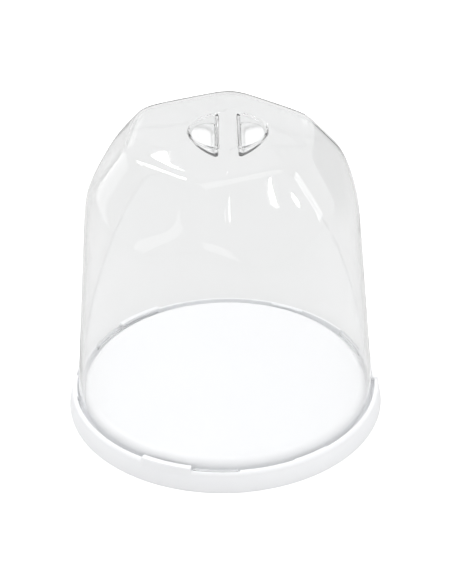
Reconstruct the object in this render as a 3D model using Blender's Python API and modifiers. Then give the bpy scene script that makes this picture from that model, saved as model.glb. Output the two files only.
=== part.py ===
"""Humidity dome tray: a clear six-sided bell dome that stands in the groove of a round white base tray."""
import math

import bmesh
import bpy
from mathutils import Matrix, Vector

# Base tray: radii and heights of its turned section, in metres
SKIRT_R = 0.1600          # skirt, where it meets the ground
RIM_R = 0.1571            # skirt, where it turns into the sloping rim
RIM_Z = 0.0171
CREST_R = 0.1538          # top of the sloping rim
CREST_Z = 0.0224
CREST_BEVEL_R = 0.0005    # the crest's inner edge is cut off by this much inwards
CREST_BEVEL_Z = 0.0006    # and by this much down
GROOVE_OUT_R = 0.1528
GROOVE_IN_R = 0.1439
GROOVE_Z = 0.0120         # groove floor, which the dome's foot stands on
FLOOR_Z = 0.0268          # raised floor inside the dome
FLOOR_ROUND = 0.0088      # radius of the raised floor's shoulder
BASE_WALL = 0.0025
SKIRT_WALL = 0.0026
GROOVE_WALL = 0.0022
BASE_STEPS = 96

# Twist lock: three times round, angles counted from +X towards +Y
LOCKS = 3
HOOK_ANGLES = (238.0, 257.2)
TAB_ANGLES = (257.7, 274.2)
POCKET_ANGLES = (238.6, 274.9)
LUG_ANGLES = (295.6, 309.8)
HOOK_TOP_Z = 0.0248
HOOK_IN_R = 0.1506
HOOK_PROUD = 0.0002       # how far a hook's face stands out of the skirt
HOOK_BEVEL = 0.0007
HOOK_ROOT = 0.0008        # how far a hook's face reaches down over the skirt
POCKET_FLOOR_Z = 0.0180
POCKET_ROOF_Z = 0.0212
POCKET_OUT_R = 0.1551
LUG_IN_R = 0.1512
LUG_TOP_Z = 0.0220
LUG_DEPTH = 0.0030
TAB_OUT_R = 0.1546
TAB_Z = 0.0185
TAB_THICK = 0.0020
DEGREES_PER_STEP = 3.0

# Dome: the soft intersection of a round tapered wall, six sloping facets and a flat top
DOME_H = 0.3047           # height of the flat top above the ground
FOOT_R = 0.1521           # wall radius if it ran down to the ground
WALL_TAPER = 0.0846       # radius lost for each unit of height
FACETS = 6
FACET_TILT = math.radians(36.8)
FACET_APOTHEM = 0.0849    # from the middle of the flat top to its edge with a facet
FACET_X = -0.0020         # middle of the flat top
FACET_Y = 0.0020
FACET_TURN = math.radians(21.5)
FACET_SHARPNESS = 30.0    # of the six ridges between the facets
EDGE_SHARPNESS = 90.0     # of the flat top's edge
SHOULDER_SHARPNESS = 40.0 # of the change from the facets to the wall
DOME_WALL = 0.0028
CENTRE_Z = 0.1440         # point that the dome's surface is measured from
CLOSING_DEPTH = 0.2300    # from that point down to a plane that closes the bell under its foot
REST_GAP = 0.0003
DOME_U = 66
DOME_V = 32

# Grip: two half-moon pockets with a bar between them
GRIP_X = 0.0070
GRIP_Y = 0.0100
GRIP_R = 0.0360
BAR_HALF = 0.0115
POCKET_DEEP = 0.0105      # beside the bar
POCKET_SHALLOW = 0.0035   # at the outer edge
CUP_WALL = 0.0022
GRIP_STEPS = 20

FOOT_Z = GROOVE_Z + REST_GAP
CLEAR = 0.01              # how far a cutter runs past what it cuts
SLIGHT_CLEAR = 0.001


def clear_scene():
    for thing in list(bpy.data.objects):
        bpy.data.objects.remove(thing, do_unlink=True)


def new_collection(name):
    group = bpy.data.collections.new(name)
    bpy.context.scene.collection.children.link(group)
    return group


def material(name, colour, roughness, alpha=1.0):
    look = bpy.data.materials.new(name)
    look.use_nodes = True
    shader = look.node_tree.nodes["Principled BSDF"]
    shader.inputs["Base Color"].default_value = (*colour, 1.0)
    shader.inputs["Roughness"].default_value = roughness
    shader.inputs["Metallic"].default_value = 0.0
    shader.inputs["Alpha"].default_value = alpha
    return look


def mesh_object(name, mesh_data, group):
    """Write a bmesh into a new object of the collection."""
    mesh = bpy.data.meshes.new(name)
    bmesh.ops.recalc_face_normals(mesh_data, faces=mesh_data.faces)
    mesh_data.to_mesh(mesh)
    mesh_data.free()
    thing = bpy.data.objects.new(name, mesh)
    group.objects.link(thing)
    return thing


def hide_tool(thing):
    thing.hide_render = True
    thing.display_type = "WIRE"


def combine(target, tool, operation):
    """Add a Boolean modifier that cuts or joins the tool, which stays hidden."""
    step = target.modifiers.new(f"{operation.lower()} {tool.name}", "BOOLEAN")
    step.operation = operation
    step.object = tool
    step.solver = "EXACT"
    hide_tool(tool)


def arc(centre_r, centre_z, radius_r, radius_z, start, end, count):
    """Points of an elliptical arc in the section plane, angles in degrees from the radial direction."""
    points = []
    for i in range(count + 1):
        angle = math.radians(start + (end - start) * i / count)
        points.append((centre_r + radius_r * math.cos(angle), centre_z + radius_z * math.sin(angle)))
    return points


def tray_section():
    """The base's wall in section, from the axis outwards over the top and back underneath."""
    shoulder_r = GROOVE_IN_R - FLOOR_ROUND
    shoulder_z = FLOOR_Z - FLOOR_ROUND
    under_round = FLOOR_ROUND - BASE_WALL
    under_z = GROOVE_Z - GROOVE_WALL
    skirt_in_r = SKIRT_R - SKIRT_WALL
    points = [(0.0, FLOOR_Z)]
    points += arc(shoulder_r, shoulder_z, FLOOR_ROUND, FLOOR_ROUND, 90, 0, 7)
    points += [(GROOVE_IN_R, GROOVE_Z), (GROOVE_OUT_R, GROOVE_Z)]
    points += [(GROOVE_OUT_R, CREST_Z - CREST_BEVEL_Z), (GROOVE_OUT_R + CREST_BEVEL_R, CREST_Z)]
    points += arc(CREST_R, RIM_Z, RIM_R - CREST_R, CREST_Z - RIM_Z, 90, 0, 5)
    points += [(SKIRT_R, 0.0), (skirt_in_r, 0.0), (RIM_R - SKIRT_WALL, under_z)]
    points += [(GROOVE_IN_R - BASE_WALL, under_z)]
    points += arc(shoulder_r, shoulder_z, under_round, under_round, 0, 90, 5)
    points += [(0.0, FLOOR_Z - BASE_WALL)]
    return points


def turned(name, section, steps, group):
    """A section turned round the Z axis with a Screw modifier."""
    mesh = bpy.data.meshes.new(name)
    corners = [(r, 0.0, z) for r, z in section]
    mesh.from_pydata(corners, [(i, i + 1) for i in range(len(corners) - 1)], [])
    thing = bpy.data.objects.new(name, mesh)
    group.objects.link(thing)
    screw = thing.modifiers.new("turn", "SCREW")
    screw.steps = steps
    screw.render_steps = steps
    screw.use_merge_vertices = True
    screw.merge_threshold = 0.00001
    screw.use_smooth_shade = True
    return thing


def sector(name, section, angles, group):
    """A closed section swept round the Z axis between two angles, with both ends closed, once for each lock."""
    span = math.radians(angles[1] - angles[0])
    steps = max(1, round((angles[1] - angles[0]) / DEGREES_PER_STEP))
    swept = bmesh.new()
    for lock in range(LOCKS):
        start = math.radians(angles[0] + 360.0 * lock / LOCKS)
        ring = [swept.verts.new((r * math.cos(start), r * math.sin(start), z)) for r, z in section]
        face = swept.faces.new(ring)
        parts = [face, *face.verts, *face.edges]
        bmesh.ops.spin(swept, geom=parts, cent=(0, 0, 0), axis=(0, 0, 1), angle=span, steps=steps,
                       use_duplicate=False)
    return mesh_object(name, swept, group)


def hook_section():
    flush_r = RIM_R + HOOK_PROUD
    lean = (SKIRT_R - RIM_R) / RIM_Z
    top_r = flush_r - lean * (HOOK_TOP_Z - RIM_Z)
    bevel_z = HOOK_TOP_Z - HOOK_BEVEL
    root_z = RIM_Z - HOOK_ROOT
    return [(HOOK_IN_R, POCKET_ROOF_Z), (HOOK_IN_R, bevel_z), (HOOK_IN_R + HOOK_BEVEL, HOOK_TOP_Z),
            (top_r - HOOK_BEVEL, HOOK_TOP_Z), (top_r, bevel_z), (flush_r, RIM_Z), (flush_r, root_z),
            (POCKET_OUT_R, root_z), (POCKET_OUT_R, POCKET_ROOF_Z)]


def box_section(r0, r1, z0, z1):
    return [(r0, z0), (r1, z0), (r1, z1), (r0, z1)]


def base_tray(parts, tools, look):
    tray = turned("base_tray", tray_section(), BASE_STEPS, parts)
    hooks = sector("hooks", hook_section(), HOOK_ANGLES, tools)
    lug_section = box_section(LUG_IN_R, CREST_R, LUG_TOP_Z - LUG_DEPTH, LUG_TOP_Z)
    lugs = sector("lugs", lug_section, LUG_ANGLES, tools)
    pocket_section = box_section(HOOK_IN_R - SLIGHT_CLEAR, POCKET_OUT_R, POCKET_FLOOR_Z, POCKET_ROOF_Z)
    pockets = sector("pockets", pocket_section, POCKET_ANGLES, tools)
    notch_section = box_section(HOOK_IN_R - SLIGHT_CLEAR, POCKET_OUT_R, POCKET_FLOOR_Z, CREST_Z + CLEAR)
    notches = sector("notches", notch_section, (HOOK_ANGLES[1], POCKET_ANGLES[1]), tools)
    combine(tray, hooks, "UNION")
    combine(tray, lugs, "UNION")
    combine(tray, pockets, "DIFFERENCE")
    combine(tray, notches, "DIFFERENCE")
    tray.data.materials.append(look)
    return tray


def dome_reach(direction, inset):
    """Distance from the centre to the dome's surface along a direction, set in from the outside by inset."""
    rise = DOME_H - CENTRE_Z - inset
    across = math.hypot(direction.x, direction.y)
    heading = math.atan2(direction.y, direction.x)
    facets = 0.0
    for i in range(FACETS):
        facing = FACET_TURN + (i + 0.5) * math.tau / FACETS
        apothem = FACET_APOTHEM + FACET_X * math.cos(facing) + FACET_Y * math.sin(facing)
        facet_distance = math.cos(FACET_TILT) * apothem + math.sin(FACET_TILT) * (DOME_H - CENTRE_Z) - inset
        toward = math.cos(FACET_TILT) * across * math.cos(heading - facing)
        toward += math.sin(FACET_TILT) * direction.z
        facets += max(0.0, toward / facet_distance) ** FACET_SHARPNESS
    facets = facets ** (1.0 / FACET_SHARPNESS)
    wall_distance = FOOT_R - WALL_TAPER * CENTRE_Z - inset * math.hypot(1.0, WALL_TAPER)
    wall = max(0.0, (across + WALL_TAPER * direction.z) / wall_distance)
    top = max(0.0, direction.z / rise)
    bottom = max(0.0, -direction.z / CLOSING_DEPTH)
    upper = (facets ** EDGE_SHARPNESS + top ** EDGE_SHARPNESS) ** (1.0 / EDGE_SHARPNESS)
    total = sum(nearness ** SHOULDER_SHARPNESS for nearness in (upper, wall, bottom))
    return total ** (-1.0 / SHOULDER_SHARPNESS)


def bell(name, inset, cut_z, group):
    """A solid bell: a sphere pushed out to the dome's surface and cut flat at its foot."""
    ball = bmesh.new()
    bmesh.ops.create_uvsphere(ball, u_segments=DOME_U, v_segments=DOME_V, radius=1.0)
    centre = Vector((0.0, 0.0, CENTRE_Z))
    bmesh.ops.rotate(ball, verts=ball.verts, matrix=Matrix.Rotation(FACET_TURN, 3, "Z"))
    for vert in ball.verts:
        direction = vert.co.normalized()
        vert.co = centre + direction * dome_reach(direction, inset)
    cut = bmesh.ops.bisect_plane(ball, geom=[*ball.verts, *ball.edges, *ball.faces], dist=1e-7,
                                 plane_co=(0, 0, cut_z), plane_no=(0, 0, -1), clear_outer=True)
    edges = [item for item in cut["geom_cut"] if isinstance(item, bmesh.types.BMEdge)]
    bmesh.ops.edgenet_fill(ball, edges=edges)
    return mesh_object(name, ball, group)


def half_moon(name, side, grow, top_z, group):
    """One finger pocket, or its cup when grown by the wall: a half moon whose floor rises away from the bar."""
    radius = GRIP_R + grow
    chord = BAR_HALF - grow
    half_angle = math.acos(chord / radius)
    slope = (POCKET_DEEP - POCKET_SHALLOW) / (GRIP_R - BAR_HALF)
    shape = bmesh.new()
    floor = []
    for i in range(GRIP_STEPS + 1):
        angle = -half_angle + 2.0 * half_angle * i / GRIP_STEPS
        x = radius * math.cos(angle)
        depth = POCKET_DEEP - slope * (x - BAR_HALF) + grow
        floor.append(shape.verts.new((GRIP_X + side * x, GRIP_Y + radius * math.sin(angle), DOME_H - depth)))
    face = shape.faces.new(floor)
    grown = bmesh.ops.extrude_face_region(shape, geom=[face])
    for item in grown["geom"]:
        if isinstance(item, bmesh.types.BMVert):
            item.co.z = top_z
    return mesh_object(name, shape, group)


def tab_section():
    wall_r = FOOT_R - WALL_TAPER * TAB_Z
    return box_section(wall_r - DOME_WALL / 2, TAB_OUT_R, TAB_Z, TAB_Z + TAB_THICK)


def clear_dome(parts, tools, look):
    dome = bell("clear_dome", 0.0, FOOT_Z, parts)
    inside = bell("dome_inside", DOME_WALL, FOOT_Z - CLEAR, tools)
    combine(dome, inside, "DIFFERENCE")
    tabs = sector("tabs", tab_section(), TAB_ANGLES, tools)
    combine(dome, tabs, "UNION")
    for side, label in ((-1, "left"), (1, "right")):
        cup = half_moon(f"{label}_cup", side, CUP_WALL, DOME_H - DOME_WALL / 2, tools)
        combine(dome, cup, "UNION")
    for side, label in ((-1, "left"), (1, "right")):
        pocket = half_moon(f"{label}_pocket", side, 0.0, DOME_H + CLEAR, tools)
        combine(dome, pocket, "DIFFERENCE")
    dome.data.materials.append(look)
    dome.data.shade_smooth()
    return dome


clear_scene()
PARTS = new_collection("humidity_dome_tray")
TOOLS = new_collection("cutters")
WHITE = material("white_plastic", (0.86, 0.87, 0.88), 0.35)
CLEAR_PLASTIC = material("clear_plastic", (0.90, 0.93, 0.94), 0.05, alpha=0.3)
base_tray(PARTS, TOOLS, WHITE)
clear_dome(PARTS, TOOLS, CLEAR_PLASTIC)
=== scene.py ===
"""Looks of the humidity dome tray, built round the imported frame."""
import math

import bmesh
import bpy
from mathutils import Matrix, Quaternion, Vector


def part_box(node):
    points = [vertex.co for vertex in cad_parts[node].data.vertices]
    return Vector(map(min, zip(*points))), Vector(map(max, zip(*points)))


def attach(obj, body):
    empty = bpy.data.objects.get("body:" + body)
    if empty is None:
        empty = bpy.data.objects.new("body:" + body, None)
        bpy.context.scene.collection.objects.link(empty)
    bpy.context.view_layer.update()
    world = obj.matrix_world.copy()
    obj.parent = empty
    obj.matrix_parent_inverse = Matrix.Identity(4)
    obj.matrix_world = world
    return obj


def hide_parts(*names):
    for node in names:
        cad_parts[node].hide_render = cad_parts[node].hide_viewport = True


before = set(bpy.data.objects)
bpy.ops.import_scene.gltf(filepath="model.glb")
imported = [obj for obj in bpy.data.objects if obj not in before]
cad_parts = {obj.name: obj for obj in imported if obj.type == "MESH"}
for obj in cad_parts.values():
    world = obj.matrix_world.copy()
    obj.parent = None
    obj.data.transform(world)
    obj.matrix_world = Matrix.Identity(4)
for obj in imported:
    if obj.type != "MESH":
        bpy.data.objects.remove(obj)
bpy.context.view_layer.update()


# ---------------------------------------------------------------- the studio
# A product table in a white studio: a seamless white floor, a pale sky all round that is darker
# behind the camera, three softboxes that are kept out of reflections, and small lamps and dim panels
# that show as highlights in the clear plastic.
CAMERA_AWAY = 1.9198           # metres from the camera to the point it looks at
CAMERA_UP = math.radians(32.6151)
CAMERA_ROLL = math.radians(-1.0491)
AIM_Z = 0.12763
LENS = 118.82
SENSOR = 36.0
SHIFT_X = 0.0043
FLOOR_HALF = 6.0
FLOOR_CELLS = 8
FLOOR_WHITE = 0.70             # the paper as the plastic sees it
FLOOR_SPECK = 0.69             # the paper in its greyer patches
FLOOR_PATCHES = 2.0            # patches of the paper for each metre
FLOOR_LIT = 0.35               # extra light on the paper where the camera sees it directly
PURE_WHITE = (1.0, 1.0, 1.0, 1.0)


class Wire:
    """A socket of a node tree. Sums on it add Math nodes, and make() adds any other node."""

    def __init__(self, tree, socket=None):
        self.tree = tree
        self.socket = socket

    def make(self, kind, settings, inputs, output=0):
        node = self.tree.nodes.new(kind)
        for name, value in settings.items():
            setattr(node, name, value)
        for key, value in inputs.items():
            if isinstance(value, Wire):
                self.tree.links.new(value.socket, node.inputs[key])
            else:
                node.inputs[key].default_value = value
        return Wire(self.tree, node.outputs[output] if node.outputs else None)

    def output(self, name):
        return Wire(self.tree, self.socket.node.outputs[name])

    def maths(self, operation, *terms):
        return self.make("ShaderNodeMath", {"operation": operation}, dict(enumerate(terms)))

    def __add__(self, other):
        return self.maths("ADD", self, other)

    def __radd__(self, other):
        return self.maths("ADD", other, self)

    def __sub__(self, other):
        return self.maths("SUBTRACT", self, other)

    def __rsub__(self, other):
        return self.maths("SUBTRACT", other, self)

    def __mul__(self, other):
        return self.maths("MULTIPLY", self, other)

    def __rmul__(self, other):
        return self.maths("MULTIPLY", other, self)

    def __truediv__(self, other):
        return self.maths("DIVIDE", self, other)

    def __rtruediv__(self, other):
        return self.maths("DIVIDE", other, self)

    def __pow__(self, other):
        return self.maths("POWER", self, other)


def new_material(name):
    look = bpy.data.materials.new(name)
    look.use_nodes = True
    look.node_tree.nodes.clear()
    return look, Wire(look.node_tree)


def new_mesh_object(name, shape):
    mesh = bpy.data.meshes.new(name)
    shape.to_mesh(mesh)
    shape.free()
    thing = bpy.data.objects.new(name, mesh)
    bpy.context.scene.collection.objects.link(thing)
    return thing


table = bmesh.new()
bmesh.ops.create_grid(table, x_segments=FLOOR_CELLS, y_segments=FLOOR_CELLS, size=FLOOR_HALF)
floor = new_mesh_object("white_floor", table)
floor_look, wires = new_material("white_studio_floor")
speckle = wires.make("ShaderNodeTexNoise", {}, {
    "Vector": wires.make("ShaderNodeTexCoord", {}, {}, "Object"), "Scale": FLOOR_PATCHES})
grey = wires.make("ShaderNodeMix", {"data_type": "RGBA"}, {
    0: speckle, 6: (FLOOR_WHITE,) * 3 + (1.0,), 7: (FLOOR_SPECK,) * 3 + (1.0,)}, 2)
paper = wires.make("ShaderNodeBsdfDiffuse", {}, {"Color": grey})
lit = wires.make("ShaderNodeEmission", {}, {"Color": PURE_WHITE, "Strength": FLOOR_LIT})
bright = wires.make("ShaderNodeAddShader", {}, {0: wires.make("ShaderNodeBsdfDiffuse", {}, {}), 1: lit})
seen_directly = wires.make("ShaderNodeLightPath", {}, {}, "Is Camera Ray")
either = wires.make("ShaderNodeMixShader", {}, {0: seen_directly, 1: paper, 2: bright})
wires.make("ShaderNodeOutputMaterial", {}, {"Surface": either})
floor.data.materials.append(floor_look)

# the sky: a level for behind the camera, one for the far side and one for overhead
SKY_NEAR = 0.80
SKY_FAR = 0.92
SKY_TOP = 0.90
SKY_TURNS = (-0.6, 0.7)        # where the level changes, from behind the camera to the far side
SKY_RISE = (0.45, 0.95)        # where the overhead level takes over, from the horizon to straight up
world = bpy.data.worlds.new("studio_sky")
bpy.context.scene.world = world
world.use_nodes = True
world.node_tree.nodes.clear()
wires = Wire(world.node_tree)
sky_way = wires.make("ShaderNodeTexCoord", {}, {}, "Generated")
place = wires.make("ShaderNodeSeparateXYZ", {}, {0: sky_way}, "Y")
far = wires.make("ShaderNodeMapRange", {"interpolation_type": "SMOOTHSTEP"}, {
    "Value": place, "From Min": SKY_TURNS[0], "From Max": SKY_TURNS[1],
    "To Min": SKY_NEAR, "To Max": SKY_FAR})
height = place.output("Z")
top = wires.make("ShaderNodeMapRange", {"interpolation_type": "SMOOTHSTEP"}, {
    "Value": height, "From Min": SKY_RISE[0], "From Max": SKY_RISE[1],
    "To Min": 0.0, "To Max": 1.0})
level = far * (1.0 - top) + top * SKY_TOP
sky = wires.make("ShaderNodeBackground", {}, {"Color": PURE_WHITE, "Strength": level})
wires.make("ShaderNodeOutputWorld", {}, {"Surface": sky})

aim = Vector((0.0, 0.0, AIM_Z))
forward = Vector((0.0, math.cos(CAMERA_UP), -math.sin(CAMERA_UP)))
level_right = Vector((1.0, 0.0, 0.0))
level_up = Vector((0.0, math.sin(CAMERA_UP), math.cos(CAMERA_UP)))
right = level_right * math.cos(CAMERA_ROLL) + level_up * math.sin(CAMERA_ROLL)
up = level_up * math.cos(CAMERA_ROLL) - level_right * math.sin(CAMERA_ROLL)
camera_data = bpy.data.cameras.new("camera")
camera_data.lens = LENS
camera_data.sensor_width = SENSOR
camera_data.shift_x = SHIFT_X
camera_data.clip_end = 50.0
camera = bpy.data.objects.new("camera", camera_data)
bpy.context.scene.collection.objects.link(camera)
turn = Matrix((right, up, -forward)).transposed().to_4x4()
camera.matrix_world = Matrix.Translation(aim - forward * CAMERA_AWAY) @ turn
bpy.context.scene.camera = camera
bpy.context.scene.view_settings.view_transform = "Standard"


def softbox(name, place, width, height, power, in_reflections=True):
    """A rectangular lamp that faces the object."""
    light = bpy.data.lights.new(name, "AREA")
    light.shape = "RECTANGLE"
    light.size = width
    light.size_y = height
    light.energy = power
    lamp = bpy.data.objects.new(name, light)
    bpy.context.scene.collection.objects.link(lamp)
    lamp.location = place
    lamp.rotation_euler = (aim - lamp.location).to_track_quat("-Z", "Y").to_euler()
    lamp.visible_glossy = in_reflections
    return lamp


softbox("softbox_overhead", (0.1, -0.2, 2.3), 1.8, 1.8, 13.0, in_reflections=False)
softbox("softbox_front", (0.3, -2.6, 0.9), 1.6, 0.8, 5.0, in_reflections=False)
softbox("softbox_right", (2.0, -0.5, 1.3), 0.6, 0.9, 6.0, in_reflections=False)

LAMP_AWAY = 2.2                # metres from the plastic to each lamp that shows in it


def lamp_mirrored_in(name, spot, heading, height, width, length, brightness, lean=0.0):
    """A lamp that shows as a highlight at a spot of the dome, with its heading and height in degrees."""
    side, rise = math.radians(heading), math.radians(height)
    way = Vector((math.cos(rise) * math.cos(side), math.cos(rise) * math.sin(side), math.sin(rise)))
    power = brightness * math.pi * width * length
    lamp = softbox(name, Vector(spot) + way * LAMP_AWAY, width, length, power)
    leaning = Quaternion((0.0, 0.0, 1.0), math.radians(lean))
    lamp.rotation_euler = (way.to_track_quat("Z", "Y") @ leaning).to_euler()


lamp_mirrored_in("panel_left", (-0.060, -0.110, 0.251), -161.0, 16.0, 0.30, 1.3, 0.50)
lamp_mirrored_in("panel_back_left", (-0.102, -0.041, 0.286), 152.0, 10.0, 2.2, 1.6, 0.55)
lamp_mirrored_in("window_left_a", (-0.040, -0.076, 0.303), 148.0, 54.0, 0.40, 0.40, 14.0)
lamp_mirrored_in("window_left_b", (-0.059, -0.046, 0.305), 92.0, 30.0, 0.030, 0.12, 12.0)
lamp_mirrored_in("window_right_a", (0.070, -0.082, 0.280), -38.0, 38.0, 0.040, 0.050, 30.0)
lamp_mirrored_in("window_right_b", (0.054, -0.081, 0.289), -41.0, 41.0, 0.009, 0.25, 22.0, lean=-24.0)
lamp_mirrored_in("window_front", (0.003, -0.104, 0.283), -47.0, 40.0, 0.020, 0.050, 34.0)
lamp_mirrored_in("card_grip_left", (-0.017, 0.020, 0.298), 75.0, 24.0, 0.30, 0.22, 0.8)
lamp_mirrored_in("card_grip_right", (0.030, 0.013, 0.298), 105.0, 24.0, 0.30, 0.22, 0.8)


# ------------------------------------------------------------- the base tray
# A round tray moulded in one piece of white plastic: an outer skirt it stands on, a sloping rim, a
# groove for the dome's foot and a raised floor. Three times round, the rim has a hook with a pocket
# under it, a notch beside it where the dome's tab drops in, and a low lug.
SKIRT_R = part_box("base_tray")[1].x
LOCKS = 3
THIRD = 360.0 / LOCKS
THIRD_START = 230.0
RIM_R = 0.1571                 # skirt, where it turns into the sloping rim
RIM_Z = 0.0171
CREST_R = 0.1538               # top of the sloping rim
CREST_Z = 0.0224
GROOVE_OUT_R = 0.1528
GROOVE_IN_R = 0.1439
GROOVE_Z = 0.0120              # groove floor, which the dome's foot stands on
FLOOR_Z = 0.0268               # raised floor inside the dome
FLOOR_ROUND = 0.0088
FLOOR_RINGS = (0.020, 0.055, 0.090, 0.115)
FLOOR_FLAT_R = 0.130           # the raised floor's last ring before its rounded shoulder
BASE_WALL = 0.0025
SKIRT_WALL = 0.0026
GROOVE_WALL = 0.0022
# where the features of one third start and end, in degrees
HOOK_START, HOOK_POCKET_START, HOOK_END = 238.0, 238.6, 257.2
NOTCH_END = 274.9
LUG_START, LUG_END = 295.6, 309.8
HOOK_TOP_Z = 0.0248
HOOK_IN_R = 0.1506
HOOK_FACE_R = 0.1573
HOOK_ROOF_Z = 0.0212           # roof of the pocket under the hook
SHELF_Z = 0.0180               # floor of that pocket and of the notch
SHELF_R = 0.1551
NOTCH_WALL_Z = 0.02197         # the rim where the notch cuts it, at the notch's back wall
NOTCH_RIM_Z = 0.02059          # and where it would meet the skirt
LUG_IN_R = 0.1512
LUG_Z = 0.0190
LUG_TOP_Z = 0.0220
RING_STEP = 1.5
FINE, SMALL = 0.0002, 0.0005   # roundings of a sharp edge and of a soft one
TOP_EDGE = 0.0008              # rounding of the hook's upper edges
FOOT_EDGE = 0.0006             # rounding of the edge that the tray stands on
CREST_EDGE = 0.0006            # rounding of the crest's edge over the groove
GROOVE_EDGE = 0.0007           # rounding of the groove's two corners
RIM_SLOPE_EDGE = 0.0048        # how far the crest's long curve runs down the rim
NOTCH_EDGE = (0.0022, 0.0030)  # how far the notch's rounded rim reaches in, and down the skirt
UNDER_EDGE = 0.0010            # rounding of the underside's corner inside the skirt
JOIN_DISTANCE = 0.00001
# rise of a feature's end wall: degrees past its start, and how much of the feature is there
END_WALL = ((0.0, 0.0), (0.10, 0.80), (0.17, 0.94), (0.30, 1.0))


def round_corners(corners):
    """A path round a list of corners (r, z, rounding before, rounding after, steps)."""
    path = []
    for i, (r, z, before, after, steps) in enumerate(corners):
        here = Vector((r, z))
        if steps == 0:
            path.append(here)
            continue
        back = (Vector(corners[i - 1][:2]) - here).normalized() * before
        on = (Vector(corners[i + 1][:2]) - here).normalized() * after
        for step in range(steps + 1):
            angle = 0.5 * math.pi * step / steps
            path.append(here + back * (1.0 - math.sin(angle)) + on * (1.0 - math.cos(angle)))
    return path


def skirt_r(z):
    return RIM_R + (SKIRT_R - RIM_R) * (RIM_Z - z) / RIM_Z


def on_radius(radius, heights):
    """Corners one above another on a straight wall, so that every zone of the rim has as many."""
    return [(radius, z, FINE, FINE) for z in heights]


def tray_outline(zone):
    """The tray's wall in section for one zone of the rim: from the axis over the top, back underneath."""
    hook_top_r = HOOK_FACE_R - (SKIRT_R - RIM_R) / RIM_Z * (HOOK_TOP_Z - RIM_Z)
    hook_head = [(HOOK_IN_R, HOOK_ROOF_Z, FINE, FINE), (HOOK_IN_R, HOOK_TOP_Z, TOP_EDGE, TOP_EDGE),
                 (hook_top_r, HOOK_TOP_Z, TOP_EDGE, TOP_EDGE), (HOOK_FACE_R, RIM_Z, SMALL, SMALL)]
    skirt_top = (RIM_R, RIM_Z, FINE, SMALL)
    crest = [(RIM_R, CREST_Z, RIM_R - CREST_R, RIM_SLOPE_EDGE), skirt_top]
    shelf = [(GROOVE_OUT_R, SHELF_Z, FINE, FINE), (SHELF_R, SHELF_Z, FINE, FINE)]
    rims = {
        "plain": [*on_radius(GROOVE_OUT_R, (0.0150, 0.0165, 0.0180, 0.0200)),
                  (GROOVE_OUT_R, CREST_Z, CREST_EDGE, SMALL), *crest],
        "hook_end": [*on_radius(GROOVE_OUT_R, (0.0160, 0.0180, HOOK_ROOF_Z)), *hook_head],
        "hook": [*shelf, (SHELF_R, HOOK_ROOF_Z, FINE, FINE), *hook_head],
        "notch": [*shelf, *on_radius(SHELF_R, (0.0195, 0.0205, NOTCH_WALL_Z)),
                  (RIM_R, NOTCH_RIM_Z, *NOTCH_EDGE), skirt_top],
        "lug": [(GROOVE_OUT_R, LUG_Z, FINE, FINE), (LUG_IN_R, LUG_Z, SMALL, SMALL),
                (LUG_IN_R, LUG_TOP_Z, SMALL, SMALL), (GROOVE_OUT_R + FINE, LUG_TOP_Z, FINE, FINE),
                (GROOVE_OUT_R + FINE, CREST_Z, FINE, SMALL), *crest],
    }
    steps = (2, 2, 2, 2, 3, 8, 2)
    rim = [(*corner, count) for corner, count in zip(rims[zone], steps)]
    under_z = GROOVE_Z - GROOVE_WALL
    under_floor_z = FLOOR_Z - BASE_WALL
    inner_r = GROOVE_IN_R - BASE_WALL
    under_round = FLOOR_ROUND - BASE_WALL
    corners = [(0.0, FLOOR_Z, 0.0, 0.0, 0)]
    corners += [(r, FLOOR_Z, 0.0, 0.0, 0) for r in (*FLOOR_RINGS, FLOOR_FLAT_R)]
    corners += [(GROOVE_IN_R, FLOOR_Z, FLOOR_ROUND, FLOOR_ROUND, 12)]
    corners += [(r, GROOVE_Z, GROOVE_EDGE, GROOVE_EDGE, 3) for r in (GROOVE_IN_R, GROOVE_OUT_R)]
    corners += rim
    corners += [(skirt_r(z), z, 0.0, 0.0, 0) for z in (0.0155, 0.0080)]
    corners += [(r, 0.0, FOOT_EDGE, FOOT_EDGE, 3) for r in (SKIRT_R, SKIRT_R - SKIRT_WALL)]
    corners += [(RIM_R - SKIRT_WALL, under_z, UNDER_EDGE, UNDER_EDGE, 3)]
    corners += [(inner_r, under_z, SMALL, SMALL, 2)]
    corners += [(inner_r, under_floor_z, under_round, under_round, 8)]
    corners += [(r, under_floor_z, 0.0, 0.0, 0) for r in reversed(FLOOR_RINGS)]
    corners += [(0.0, under_floor_z, 0.0, 0.0, 0)]
    return round_corners(corners)


def tray_rings():
    """Angles of the rings over one third, each with its two zones and its share of the second."""
    changes = [(HOOK_START, "plain", "hook_end", 1), (HOOK_POCKET_START, "hook_end", "hook", 1),
               (HOOK_END, "hook", "notch", -1), (NOTCH_END, "notch", "plain", -1),
               (LUG_START, "plain", "lug", 1), (LUG_END, "lug", "plain", -1)]
    rings = [(THIRD_START, "plain", "plain", 0.0)]
    for start, before, after, side in changes:
        last = rings[-1][0]
        first = start if side > 0 else start - END_WALL[-1][0]
        count = max(1, math.ceil((first - last) / RING_STEP))
        rings += [(last + (first - last) * i / count, before, before, 0.0) for i in range(1, count)]
        for past, share in END_WALL if side > 0 else reversed(END_WALL):
            rings.append((start + side * past, before, after, share if side > 0 else 1.0 - share))
    last = rings[-1][0]
    finish = THIRD_START + THIRD
    count = math.ceil((finish - last) / RING_STEP)
    rings += [(last + (finish - last) * i / count, "plain", "plain", 0.0) for i in range(1, count + 1)]
    return rings


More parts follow.
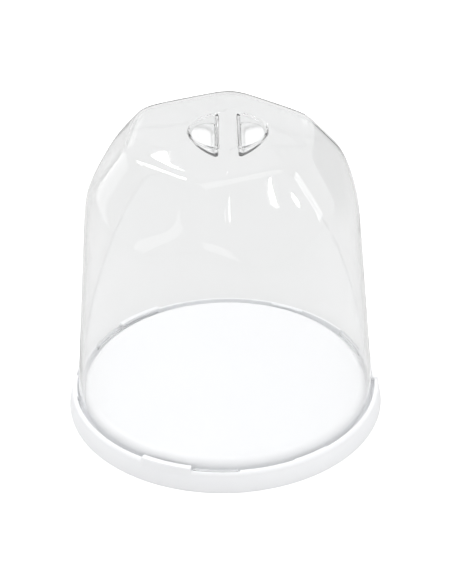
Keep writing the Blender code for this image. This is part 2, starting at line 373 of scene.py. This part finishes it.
def tray_third():
    """One third of the tray, with its hook, notch and lug, open at both cut ends."""
    outlines = {zone: tray_outline(zone) for zone in ("plain", "hook_end", "hook", "notch", "lug")}
    shape = bmesh.new()
    columns = []
    for angle, before, after, share in tray_rings():
        across, along = math.cos(math.radians(angle)), math.sin(math.radians(angle))
        column = []
        for a, b in zip(outlines[before], outlines[after]):
            r, z = a.lerp(b, share)
            column.append((r * across, r * along, z))
        columns.append(column)
    top = shape.verts.new(columns[0][0])
    bottom = shape.verts.new(columns[0][-1])
    grid = [[top, *(shape.verts.new(point) for point in column[1:-1]), bottom] for column in columns]
    for left, right_side in zip(grid, grid[1:]):
        for i in range(len(left) - 1):
            around = [left[i], left[i + 1], right_side[i + 1], right_side[i]]
            shape.faces.new(list(dict.fromkeys(around)))
    return shape


def node_group(name, sockets):
    """An empty geometry tree with the named inputs, which are socket types by name."""
    tree = bpy.data.node_groups.new(name, "GeometryNodeTree")
    tree.interface.new_socket("Geometry", in_out="OUTPUT", socket_type="NodeSocketGeometry")
    tree.interface.new_socket("Geometry", in_out="INPUT", socket_type="NodeSocketGeometry")
    for label, kind in sockets.items():
        tree.interface.new_socket(label, in_out="INPUT", socket_type=f"NodeSocket{kind}")
    return tree, Wire(tree).make("NodeGroupInput", {}, {})


def run_tree(thing, tree, values):
    """Run a geometry tree on an object with its input values, and keep the result as a plain mesh."""
    step = thing.modifiers.new(tree.name, "NODES")
    step.node_group = tree
    for item in tree.interface.items_tree:
        if item.in_out == "INPUT" and item.name in values:
            step[item.identifier] = values[item.name]
    graph = bpy.context.evaluated_depsgraph_get()
    mesh = bpy.data.meshes.new_from_object(thing.evaluated_get(graph))
    thing.modifiers.clear()
    thing.data = mesh
    outward = bmesh.new()
    outward.from_mesh(mesh)
    bmesh.ops.recalc_face_normals(outward, faces=outward.faces)
    outward.to_mesh(mesh)
    outward.free()
    mesh.shade_smooth()


tree, given = node_group("three_times_round", {
    "Count": "Int", "Join distance": "Float", "Material": "Material"})
count = given.output("Count")
points = given.make("GeometryNodePoints", {}, {"Count": count})
angle = given.make("GeometryNodeInputIndex", {}, {}) * (math.tau / count)
spin = given.make("ShaderNodeCombineXYZ", {}, {"Z": angle})
copies = given.make("GeometryNodeInstanceOnPoints", {}, {
    "Points": points, "Instance": given.output("Geometry"), "Rotation": spin})
whole = given.make("GeometryNodeRealizeInstances", {}, {"Geometry": copies})
joined = given.make("GeometryNodeMergeByDistance", {}, {
    "Geometry": whole, "Distance": given.output("Join distance")})
coated = given.make("GeometryNodeSetMaterial", {}, {
    "Geometry": joined, "Material": given.output("Material")})
given.make("NodeGroupOutput", {}, {"Geometry": coated})

WHITE = (0.862, 0.868, 0.882, 1.0)
WHITE_DEEP = (0.838, 0.846, 0.862, 1.0)
white_look, wires = new_material("white_moulded_plastic")
here = wires.make("ShaderNodeTexCoord", {}, {}, "Object")
flow = wires.make("ShaderNodeTexNoise", {}, {
    "Vector": here, "Scale": 14.0, "Detail": 3.0, "Roughness": 0.5})
scuff = wires.make("ShaderNodeTexNoise", {}, {
    "Vector": here, "Scale": 160.0, "Detail": 4.0, "Roughness": 0.6})
grain = wires.make("ShaderNodeTexNoise", {}, {
    "Vector": here, "Scale": 1400.0, "Detail": 2.0, "Roughness": 0.5})
colour = wires.make("ShaderNodeMix", {"data_type": "RGBA"}, {0: flow, 6: WHITE, 7: WHITE_DEEP}, 2)
surface = wires.make("ShaderNodeBump", {}, {
    "Height": grain * 0.4 + scuff, "Strength": 0.10, "Distance": 0.0002})
plastic = wires.make("ShaderNodeBsdfPrincipled", {}, {
    "Base Color": colour, "Roughness": 0.27 + flow * 0.10 + scuff * 0.06, "IOR": 1.5,
    "Subsurface Weight": 0.25, "Subsurface Radius": (0.006, 0.006, 0.006), "Subsurface Scale": 1.0,
    "Normal": surface})
wires.make("ShaderNodeOutputMaterial", {}, {"Surface": plastic})

tray = new_mesh_object("white_base_tray", tray_third())
run_tree(tray, tree, {"Count": LOCKS, "Join distance": JOIN_DISTANCE, "Material": white_look})
level_normals = tray.modifiers.new("flat faces stay flat", "WEIGHTED_NORMAL")
level_normals.keep_sharp = True
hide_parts("base_tray")
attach(tray, "base")


# ------------------------------------------------------------ the clear dome
# A bell moulded from clear colourless plastic: a round wall that tapers upwards, six soft facets, a flat
# top with two half-moon finger pockets and a bar between them, and three tabs near the foot. Two faint
# mould lines run up it at the front and the back.
DOME_LOW, DOME_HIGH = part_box("clear_dome")
DOME_H = DOME_HIGH.z
FOOT_Z = DOME_LOW.z
DOME_WALL = 0.0028
CENTRE_Z = 0.1440              # point that the dome's surface is measured from
FOOT_R = 0.1521                # wall radius if it ran down to the ground
TAPER = 0.0846                 # radius lost for each unit of height
FACET_TILT = math.radians(36.8)
FACET_TURN = math.radians(21.5)
FACET_EDGE_R = 0.0849          # from the middle of the flat top to its edge with a facet
FACETS = 6
TOP_X, TOP_Y = -0.0020, 0.0020  # middle of the flat top
CLOSING_DEPTH = 0.230          # down from the centre to a plane that closes the formula under the foot
TAB_START, TAB_END = 257.7, 274.2
TAB_OUT_R = 0.1546
TAB_LOW_Z, TAB_HIGH_Z = 0.0185, 0.0205
MOULD_LINES = (92.3, 272.3)
MOULD_LINE_HEIGHT = 0.00012
GRIP_X, GRIP_Y = 0.0070, 0.0100
GRIP_R = 0.0360
BAR_HALF = 0.0115
POCKET_DEEP = 0.0105           # beside the bar
POCKET_SHALLOW = 0.0035        # at the outer edge
CUP_WALL = 0.0022
SIDES = (-1.0, 1.0)            # the pockets left and right of the bar
POCKET_CENTRE = 0.0105         # from the bar's side to the point that a pocket's outline is drawn round
POCKET_CORNER = 11.0           # how sharp a pocket's two corners are
POCKET_POINTS = 72
SKIN_LAYERS = ("skin", "inset", "tab", "seam")
# outer and inner skin: inset, growth of the pockets, roundings of their rim and floor, tabs on it
SKINS = ((0.0, 0.0, 0.0018, 0.0016, 1.0), (DOME_WALL, CUP_WALL, 0.0014, 0.0014, 0.0))
PATCH_R = 0.0405               # radius round the grip inside which the top is flat
TOP_R = 0.0900                 # half width of the top in the rough profile
SHOULDER_Z = 0.205             # height in it where the wall starts to turn in
WALL_ROWS, SHOULDER_ROWS, TOP_ROWS = 34, 62, 26
MERIDIAN_STEP = 1.5
START_R = 0.15                 # length of the directions that the skins start as, near their final size
FACET_SHARPNESS = 30.0         # of the six ridges between the facets
EDGE_SHARPNESS = 90.0          # of the flat top's edge
SHOULDER_SHARPNESS = 40.0      # of the change from the facets to the wall


def meridians():
    """Angles of the dome's up-and-down lines, with each one's share of a tab and of a mould line."""
    lines = {}
    for lock in range(LOCKS):
        for past, share in END_WALL:
            lines[round((TAB_START + past + THIRD * lock) % 360.0, 4)] = (share, 0.0)
            lines[round((TAB_END - past + THIRD * lock) % 360.0, 4)] = (share, 0.0)

    def tab_share(angle):
        for lock in range(LOCKS):
            if TAB_START <= (angle - THIRD * lock) % 360.0 <= TAB_END:
                return 1.0
        return 0.0

    for line in MOULD_LINES:
        for past, share in ((-0.14, 0.0), (-0.06, 1.0), (0.06, 1.0), (0.14, 0.0)):
            lines[round(line + past, 4)] = (tab_share(line), share)
    fixed = sorted(lines)
    for first, second in zip(fixed, [*fixed[1:], fixed[0] + 360.0]):
        count = math.ceil((second - first) / MERIDIAN_STEP)
        for i in range(1, count):
            angle = (first + (second - first) * i / count) % 360.0
            lines[round(angle, 4)] = (tab_share(angle), 0.0)
    return [(angle, *lines[angle]) for angle in sorted(lines)]


def dome_rows():
    """Points of a rough profile, foot to top: radius, height, share of the grip's offset and of a tab."""
    tab_rows = ((TAB_LOW_Z - 0.0002, 0.0), (TAB_LOW_Z, 0.82), (TAB_LOW_Z + 0.0003, 1.0),
                (TAB_HIGH_Z - 0.0003, 1.0), (TAB_HIGH_Z, 0.82), (TAB_HIGH_Z + 0.0002, 0.0))
    low_rows = ((FOOT_Z, 0.0), (0.0150, 0.0), *tab_rows, (0.0230, 0.0), (0.0270, 0.0))
    rows = [(FOOT_R - TAPER * z, z, 0.0, tab) for z, tab in low_rows]
    low = rows[-1][1]
    for i in range(1, WALL_ROWS + 1):
        z = low + (SHOULDER_Z - low) * i / WALL_ROWS
        rows.append((FOOT_R - TAPER * z, z, 0.0, 0.0))
    shoulder_r = rows[-1][0]
    for i in range(1, SHOULDER_ROWS + 1):
        turn = 0.5 * math.pi * i / SHOULDER_ROWS
        radius = TOP_R + (shoulder_r - TOP_R) * math.cos(turn)
        rows.append((radius, SHOULDER_Z + (DOME_H - SHOULDER_Z) * math.sin(turn), 0.0, 0.0))
    for i in range(1, TOP_ROWS + 1):
        share = i / TOP_ROWS
        rows.append((TOP_R + (PATCH_R - TOP_R) * share, DOME_H, share, 0.0))
    return rows


def direction_to(shape, x, y, z):
    """A vertex in the direction of a point from the dome's centre."""
    return shape.verts.new(Vector((x, y, z - CENTRE_Z)).normalized() * START_R)


def dome_skin(shape, inset, tabs_on):
    """The rows of one skin as directions from the dome's centre. A tree later pushes them outwards."""
    layers = [shape.verts.layers.float[name] for name in SKIN_LAYERS]
    rows = []
    for radius, height, offset, tab in dome_rows():
        height = min(height, DOME_H - inset)
        row = []
        for angle, tab_share, line in meridians():
            x = GRIP_X * offset + radius * math.cos(math.radians(angle))
            y = GRIP_Y * offset + radius * math.sin(math.radians(angle))
            vert = direction_to(shape, x, y, height)
            for layer, value in zip(layers, (1.0, inset, tab * tab_share * tabs_on, line * tabs_on)):
                vert[layer] = value
            row.append(vert)
        rows.append(row)
    bridge_rows(shape, rows)
    return rows


def bridge_rows(shape, rows):
    for low, high in zip(rows, rows[1:]):
        for i in range(len(low)):
            shape.faces.new((low[i - 1], low[i], high[i], high[i - 1]))


def pocket_outline(side, inset):
    """Points of a half moon beside the bar, set in by inset, with two rounded corners."""
    centre = BAR_HALF + POCKET_CENTRE
    chord = POCKET_CENTRE - inset
    radius = GRIP_R - inset
    points = []
    for i in range(POCKET_POINTS):
        angle = math.tau * i / POCKET_POINTS
        to_circle = math.sqrt(radius ** 2 - (centre * math.sin(angle)) ** 2) - centre * math.cos(angle)
        total = to_circle ** -POCKET_CORNER + max(0.0, -math.cos(angle) / chord) ** POCKET_CORNER
        reach = total ** (-1.0 / POCKET_CORNER)
        x, y = centre + reach * math.cos(angle), reach * math.sin(angle)
        points.append((side * x, y))
    return points


def pocket(shape, side, wall, top_z, edge_round, floor_round, rim_row):
    """A half-moon pocket from its rim down to its floor. wall grows it into the cup under the top."""
    slope = (POCKET_DEEP - POCKET_SHALLOW) / (GRIP_R - BAR_HALF)

    def floor_z(x):
        return DOME_H - POCKET_DEEP - wall + slope * (abs(x) - BAR_HALF)

    rows = [rim_row]
    for turn in (30.0, 60.0, 90.0):
        out = edge_round * (1.0 - math.sin(math.radians(turn)))
        down = edge_round * (1.0 - math.cos(math.radians(turn)))
        rows.append([shape.verts.new((GRIP_X + x, GRIP_Y + y, top_z - down))
                     for x, y in pocket_outline(side, -wall - out)])
    for turn in (0.0, 25.0, 50.0, 70.0, 90.0):
        inward = floor_round * (1.0 - math.cos(math.radians(turn)))
        lift = floor_round * (1.0 - math.sin(math.radians(turn)))
        rows.append([shape.verts.new((GRIP_X + x, GRIP_Y + y, floor_z(x) + lift))
                     for x, y in pocket_outline(side, -wall + inward)])
    last = pocket_outline(side, -wall + floor_round)
    middle = side * (BAR_HALF + POCKET_CENTRE)
    for share in (0.75, 0.5, 0.25):
        rows.append([shape.verts.new((GRIP_X + middle + (x - middle) * share, GRIP_Y + y * share,
                                      floor_z(middle + (x - middle) * share))) for x, y in last])
    bridge_rows(shape, rows)
    centre = shape.verts.new((GRIP_X + middle, GRIP_Y, floor_z(middle)))
    for i in range(POCKET_POINTS):
        shape.faces.new((rows[-1][i - 1], rows[-1][i], centre))


def pocket_rim(shape, side, wall, edge_round, inset):
    """The rim of a pocket as directions on one skin."""
    layers = [shape.verts.layers.float[name] for name in SKIN_LAYERS]
    rim = []
    for x, y in pocket_outline(side, -wall - edge_round):
        vert = direction_to(shape, GRIP_X + x, GRIP_Y + y, DOME_H - inset)
        vert[layers[0]] = 1.0
        vert[layers[1]] = inset
        rim.append(vert)
    return rim


def loop_edges(shape, row):
    """The edges round a closed row of points, made where they are missing."""
    pairs = [(row[i - 1], row[i]) for i in range(len(row))]
    return [shape.edges.get(pair) or shape.edges.new(pair) for pair in pairs]


def dome_shape():
    """Both skins with their pockets, joined round the foot."""
    shape = bmesh.new()
    for name in SKIN_LAYERS:
        shape.verts.layers.float.new(name)
    feet = []
    for inset, wall, edge_round, floor_round, tabs_on in SKINS:
        rows = dome_skin(shape, inset, tabs_on)
        rims = [pocket_rim(shape, side, wall, edge_round, inset) for side in SIDES]
        edges = [edge for row in (rows[-1], *rims) for edge in loop_edges(shape, row)]
        bmesh.ops.triangle_fill(shape, use_beauty=True, use_dissolve=False, edges=edges,
                                normal=(0.0, 0.0, 1.0))
        for side, rim in zip(SIDES, rims):
            pocket(shape, side, wall, DOME_H - inset, edge_round, floor_round, rim)
        feet.append(rows[0])
    bridge_rows(shape, feet)
    return shape


NUMBERS = ("Height", "Centre height", "Foot radius", "Taper", "Closing depth", "Facet tilt",
           "Facet edge radius", "Facet turn", "Facet sharpness", "Top X", "Top Y", "Edge sharpness",
           "Shoulder sharpness", "Tab radius", "Mould line")
tree, given = node_group("soft_faceted_bell", {**dict.fromkeys(NUMBERS, "Float"), "Material": "Material"})
position = given.make("GeometryNodeInputPosition", {}, {})
direction = given.make("ShaderNodeSeparateXYZ", {}, {0: position}, "X")
east, north, rise = direction, direction.output("Y"), direction.output("Z")


def stored(name):
    return given.make("GeometryNodeInputNamedAttribute", {"data_type": "FLOAT"}, {"Name": name})


def above_zero(value):
    return value.maths("MAXIMUM", value, 0.0)


inset = stored("inset")
across = (east * east + north * north).maths("SQRT", east * east + north * north)
heading = north.maths("ARCTAN2", north, east)
tilt = given.output("Facet tilt")
tilt_cos, tilt_sin = tilt.maths("COSINE", tilt), tilt.maths("SINE", tilt)
half_height = given.output("Height") - given.output("Centre height")
facets = 0.0
for facet in range(FACETS):
    facing = given.output("Facet turn") + (facet + 0.5) * math.tau / FACETS
    edge = given.output("Facet edge radius") + given.output("Top X") * facing.maths("COSINE", facing)
    edge = edge + given.output("Top Y") * facing.maths("SINE", facing)
    facet_away = tilt_cos * edge + tilt_sin * half_height - inset
    aligned = heading.maths("COSINE", heading - facing)
    toward = (tilt_cos * across * aligned + tilt_sin * rise) / facet_away
    facets = above_zero(toward) ** given.output("Facet sharpness") + facets
facets = facets ** (1.0 / given.output("Facet sharpness"))
taper = given.output("Taper")
wall_away = given.output("Foot radius") - taper * given.output("Centre height")
wall_away = wall_away - inset * math.hypot(1.0, TAPER)
wall = above_zero((across + taper * rise) / wall_away)
top = above_zero(rise / (half_height - inset))
bottom = above_zero((0.0 - rise) / given.output("Closing depth"))
sharp = given.output("Shoulder sharpness")
edge_sharp = given.output("Edge sharpness")
upper = (facets ** edge_sharp + top ** edge_sharp) ** (1.0 / edge_sharp)
total = upper ** sharp + wall ** sharp + bottom ** sharp
reach = total ** (-1.0 / sharp) + stored("seam") * given.output("Mould line") / START_R
spread = (1.0 - stored("tab")) * across * reach + stored("tab") * given.output("Tab radius")
surface = given.make("ShaderNodeCombineXYZ", {}, {
    "X": spread * (east / across), "Y": spread * (north / across),
    "Z": rise * reach + given.output("Centre height")})
pushed = given.make("GeometryNodeSetPosition", {}, {
    "Geometry": given.output("Geometry"), "Selection": stored("skin"), "Position": surface})
whole = given.make("GeometryNodeRealizeInstances", {}, {"Geometry": pushed})
coated = given.make("GeometryNodeSetMaterial", {}, {
    "Geometry": whole, "Material": given.output("Material")})
given.make("NodeGroupOutput", {}, {"Geometry": coated})

CLEAR_TINT = (0.975, 0.978, 0.978, 1.0)
SHADE_TINT = (0.975, 0.975, 0.975, 1.0)
clear_look, wires = new_material("clear_polished_plastic")
here = wires.make("ShaderNodeTexCoord", {}, {}, "Object")
ripple = wires.make("ShaderNodeTexNoise", {}, {
    "Vector": here, "Scale": 22.0, "Detail": 2.0, "Roughness": 0.4})
scuff = wires.make("ShaderNodeTexNoise", {}, {
    "Vector": here, "Scale": 90.0, "Detail": 5.0, "Roughness": 0.65})
surface = wires.make("ShaderNodeBump", {}, {
    "Height": ripple + scuff * 0.03, "Strength": 0.12, "Distance": 0.0010})
clear = wires.make("ShaderNodeBsdfPrincipled", {}, {
    "Base Color": CLEAR_TINT, "Roughness": 0.005 + scuff * 0.03, "IOR": 1.49, "Transmission Weight": 1.0,
    "Normal": surface})
shade = wires.make("ShaderNodeBsdfTransparent", {}, {"Color": SHADE_TINT})
path = wires.make("ShaderNodeLightPath", {}, {}, "Is Shadow Ray")
bounced = wires.make("ShaderNodeMixShader", {}, {0: path.output("Is Diffuse Ray"), 1: clear, 2: shade})
either = wires.make("ShaderNodeMixShader", {}, {0: path, 1: bounced, 2: shade})
wires.make("ShaderNodeOutputMaterial", {}, {"Surface": either})

dome = new_mesh_object("clear_faceted_dome", dome_shape())
run_tree(dome, tree, {
    "Height": DOME_H, "Centre height": CENTRE_Z, "Foot radius": FOOT_R, "Taper": TAPER,
    "Closing depth": CLOSING_DEPTH, "Facet tilt": FACET_TILT, "Facet edge radius": FACET_EDGE_R,
    "Facet turn": FACET_TURN, "Facet sharpness": FACET_SHARPNESS, "Top X": TOP_X, "Top Y": TOP_Y,
    "Edge sharpness": EDGE_SHARPNESS, "Shoulder sharpness": SHOULDER_SHARPNESS,
    "Tab radius": TAB_OUT_R, "Mould line": MOULD_LINE_HEIGHT, "Material": clear_look})
level_normals = dome.modifiers.new("flat faces stay flat", "WEIGHTED_NORMAL")
level_normals.keep_sharp = True
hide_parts("clear_dome")
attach(dome, "dome")
